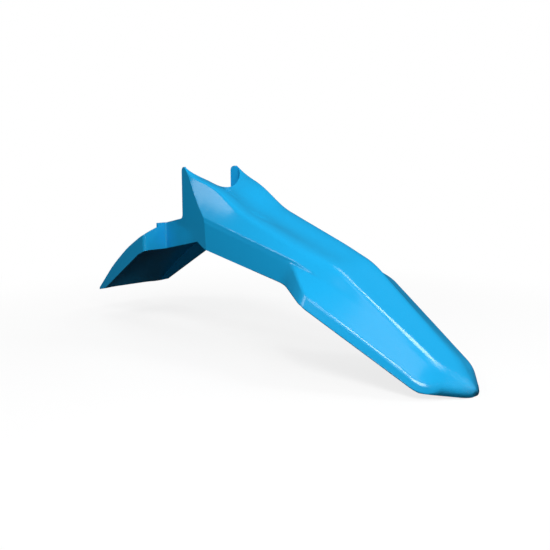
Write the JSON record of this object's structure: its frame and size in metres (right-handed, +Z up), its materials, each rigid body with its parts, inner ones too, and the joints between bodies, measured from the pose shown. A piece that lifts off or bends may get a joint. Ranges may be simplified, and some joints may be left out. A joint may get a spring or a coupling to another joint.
{
  "type": "motorcycle front mudguard",
  "caption": "Moulded front mudguard with a long beak that turns down, side wings, raised ears with fins, a flat clamp deck, fork recesses and a curved tail.",
  "frame": {"origin": "middle of the four clamp bolt holes, on the top face of the deck", "axes": "+X forward to the nose, +Y to the rider's left, +Z up along the clamp bolts"},
  "size_m": [0.6717, 0.1762, 0.2388],
  "materials": {
    "blue_plastic": "gloss"
  },
  "bodies": {
    "root": {"mudguard": "blue_plastic"}
  },
  "joints": []
}
